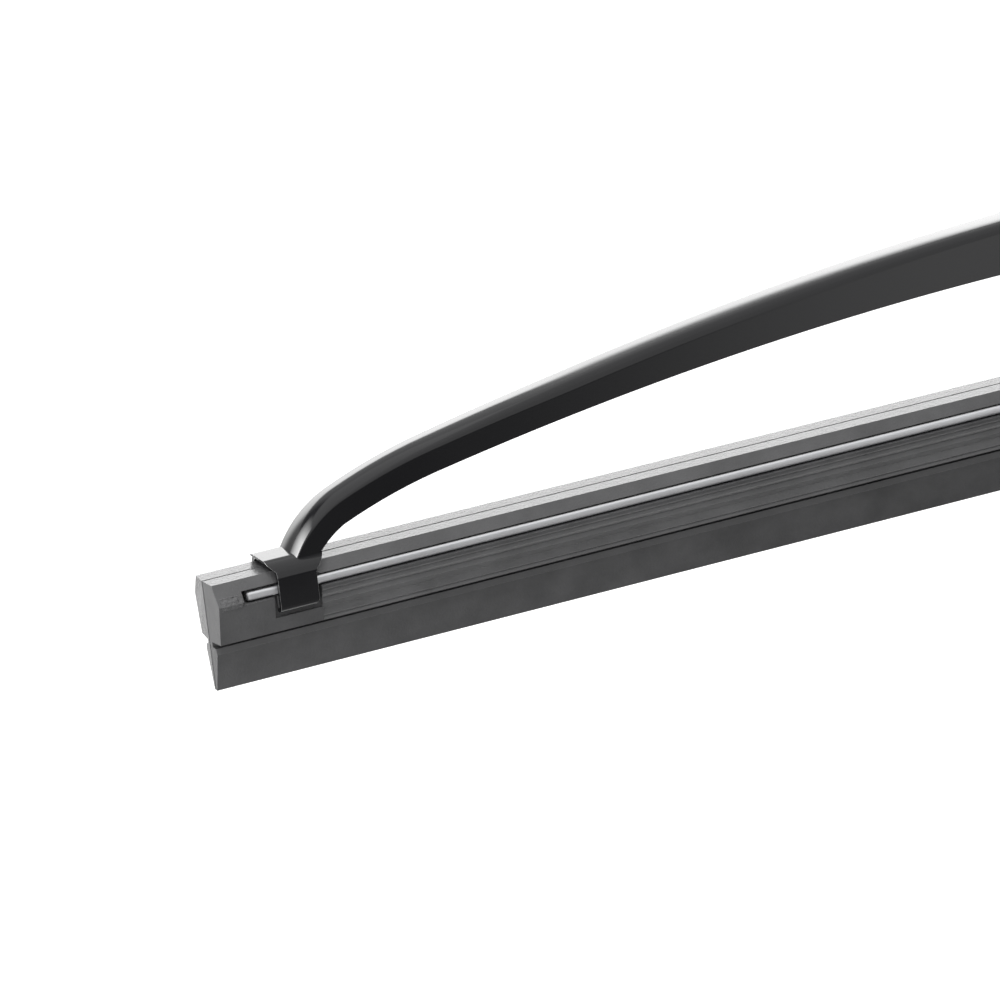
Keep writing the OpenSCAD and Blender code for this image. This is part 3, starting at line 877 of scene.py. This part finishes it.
room_light = 0.2
world = bpy.data.worlds.new("white_surround")
world.use_nodes = True
bpy.context.scene.world = world
room = world.node_tree.nodes["Background"]
room.inputs["Strength"].default_value = room_light
room.inputs["Color"].default_value = (1, 1, 1, 1)
white = world.node_tree.nodes.new("ShaderNodeBackground")
white.inputs["Color"].default_value = (1, 1, 1, 1)
choice = world.node_tree.nodes.new("ShaderNodeMixShader")
world.node_tree.links.new(seen_ray(world.node_tree), choice.inputs["Fac"])
world.node_tree.links.new(room.outputs[0], choice.inputs[1])
world.node_tree.links.new(white.outputs[0], choice.inputs[2])
world.node_tree.links.new(choice.outputs[0], world.node_tree.nodes["World Output"].inputs["Surface"])
bpy.context.scene.view_settings.view_transform = "Standard"
print("room light:", room_light)


# %% Light cards
def face_target(thing, place, target=(-0.1, 0, 0)):
    """Puts a thing at its place and turns its -Z side to the target."""
    thing.location = place
    thing.rotation_euler = (Vector(target) - Vector(place)).to_track_quat("-Z", "Y").to_euler()


def light_card(name, place, width, height, strength, target=(-0.1, 0, 0)):
    """A card that glows. It lights the blade and shows in its reflections, but not in the picture."""
    nothing_selected()
    bpy.ops.mesh.primitive_plane_add(size=1)
    card = bpy.context.object
    card.name = name
    card.scale = (width, height, 1)
    bpy.ops.object.transform_apply(scale=True)
    face_target(card, place, target)
    card.visible_camera = False
    card.visible_shadow = False
    material = new_material(name)
    material.use_nodes = True
    tree = material.node_tree
    tree.nodes.remove(tree.nodes["Principled BSDF"])
    glow = tree.nodes.new("ShaderNodeEmission")
    glow.inputs["Strength"].default_value = strength
    tree.links.new(glow.outputs[0], tree.nodes["Material Output"].inputs["Surface"])
    dress(card, material)
    return card


def fade(card, axis, stops):
    """Lets a card's glow follow stops of (place across the card in metres, share of the strength)."""
    tree = card.active_material.node_tree
    glow = tree.nodes["Emission"]
    place = tree.nodes.new("ShaderNodeTexCoord")
    split = tree.nodes.new("ShaderNodeSeparateXYZ")
    tree.links.new(place.outputs["Object"], split.inputs[0])
    curve = tree.nodes.new("ShaderNodeFloatCurve")
    size = stops[-1][0] - stops[0][0]
    along = tree.nodes.new("ShaderNodeMapRange")
    along.inputs["From Min"].default_value = stops[0][0]
    along.inputs["From Max"].default_value = stops[-1][0]
    tree.links.new(split.outputs[axis], along.inputs["Value"])
    tree.links.new(along.outputs["Result"], curve.inputs["Value"])
    points = curve.mapping.curves[0].points
    while len(points) < len(stops):
        points.new(0.5, 0.5)
    for point, (where, share) in zip(points, stops):
        point.location = ((where - stops[0][0]) / size, share)
        point.handle_type = "VECTOR"
    curve.mapping.update()
    times = tree.nodes.new("ShaderNodeMath")
    times.operation = "MULTIPLY"
    times.inputs[1].default_value = glow.inputs["Strength"].default_value
    if glow.inputs["Strength"].is_linked:
        tree.links.new(glow.inputs["Strength"].links[0].from_socket, times.inputs[1])
    tree.links.new(curve.outputs[0], times.inputs[0])
    tree.links.new(times.outputs[0], glow.inputs["Strength"])


behind = light_card("card_behind", (0.25, 1.2, 0.45), 3.6, 1.6, 4.8, target=(0.25, 0, 0.45))
fade(behind, "Y", [(-0.8, 0.23), (-0.49, 0.35), (-0.3, 0.6), (-0.09, 0.84), (0.06, 1), (0.11, 0.6),
                   (0.15, 0.16), (0.8, 0.16)])
fade(behind, "X", [(-1.8, 1), (0.6, 1), (0.68, 0.85), (0.88, 0.22), (0.98, 0.16), (1.8, 0.16)])
behind.visible_diffuse = False
light_card("card_above", (-0.1, 0.0, 1.25), 2.3, 2.3, 1.1)
key = light_card("card_upper_left", (-0.9, 0.484, 0.407), 0.8, 0.6, 20, target=(-0.125, 0, 0))
fade(key, "X", [(-0.4, 0.1), (-0.3, 0.3), (-0.1, 0.8), (0, 1), (0.4, 1)])
fade(key, "Y", [(-0.3, 1), (0.02, 1), (0.3, 0.1)])
key.visible_diffuse = False
front = light_card("card_in_front", (-0.2, -0.5, -0.165), 1.3, 0.27, 1.5, target=(-0.2, 0, -0.165))
fade(front, "X", [(-0.65, 0.08), (0.29, 0.08), (0.335, 0.29), (0.38, 0.66), (0.42, 0.9), (0.65, 1)])
front.visible_diffuse = False
below = light_card("card_below", (0.0, -0.35, -0.2), 1.2, 0.6, 0.75, target=(0.0, -0.35, 1))
fade(below, "X", [(-0.6, 0.12), (0.0, 0.35), (0.15, 0.9), (0.3, 1), (0.6, 1)])
soft_above = light_card("card_soft_above", (-0.2, -0.25, 1.0), 1.0, 1.0, 4.0)
soft_left = light_card("card_soft_left", (-0.35, -0.22, 0.04), 0.3, 0.3, 2.2, target=(-0.12, 0, 0))
for card in (soft_above, soft_left):
    card.visible_glossy = False

# %% The floor
floor_drop = 0.25
bpy.ops.mesh.primitive_plane_add(size=6, location=(0, 0, packed_box[0].z - floor_drop))
floor = bpy.context.object
floor.name = "floor"
bpy.ops.object.transform_apply(location=True)
pale = bpy.data.materials.new("pale_floor")
pale.use_nodes = True
pale_tree = pale.node_tree
pale_shader = pale_tree.nodes["Principled BSDF"]
pale_shader.inputs["Base Color"].default_value = (0.6, 0.6, 0.6, 1)
pale_shader.inputs["Roughness"].default_value = 0.9
pale_shader.inputs["Specular IOR Level"].default_value = 0.0
lift = 0.9
glow = pale_tree.nodes.new("ShaderNodeEmission")
amount = pale_tree.nodes.new("ShaderNodeMath")
amount.operation = "MULTIPLY"
amount.inputs[1].default_value = lift
pale_tree.links.new(seen_ray(pale_tree), amount.inputs[0])
pale_tree.links.new(amount.outputs[0], glow.inputs["Strength"])
both = pale_tree.nodes.new("ShaderNodeAddShader")
pale_tree.links.new(pale_shader.outputs[0], both.inputs[0])
pale_tree.links.new(glow.outputs[0], both.inputs[1])
pale_tree.links.new(both.outputs[0], pale_tree.nodes["Material Output"].inputs["Surface"])
dress(floor, pale)
print("floor at", round(packed_box[0].z - floor_drop, 3))
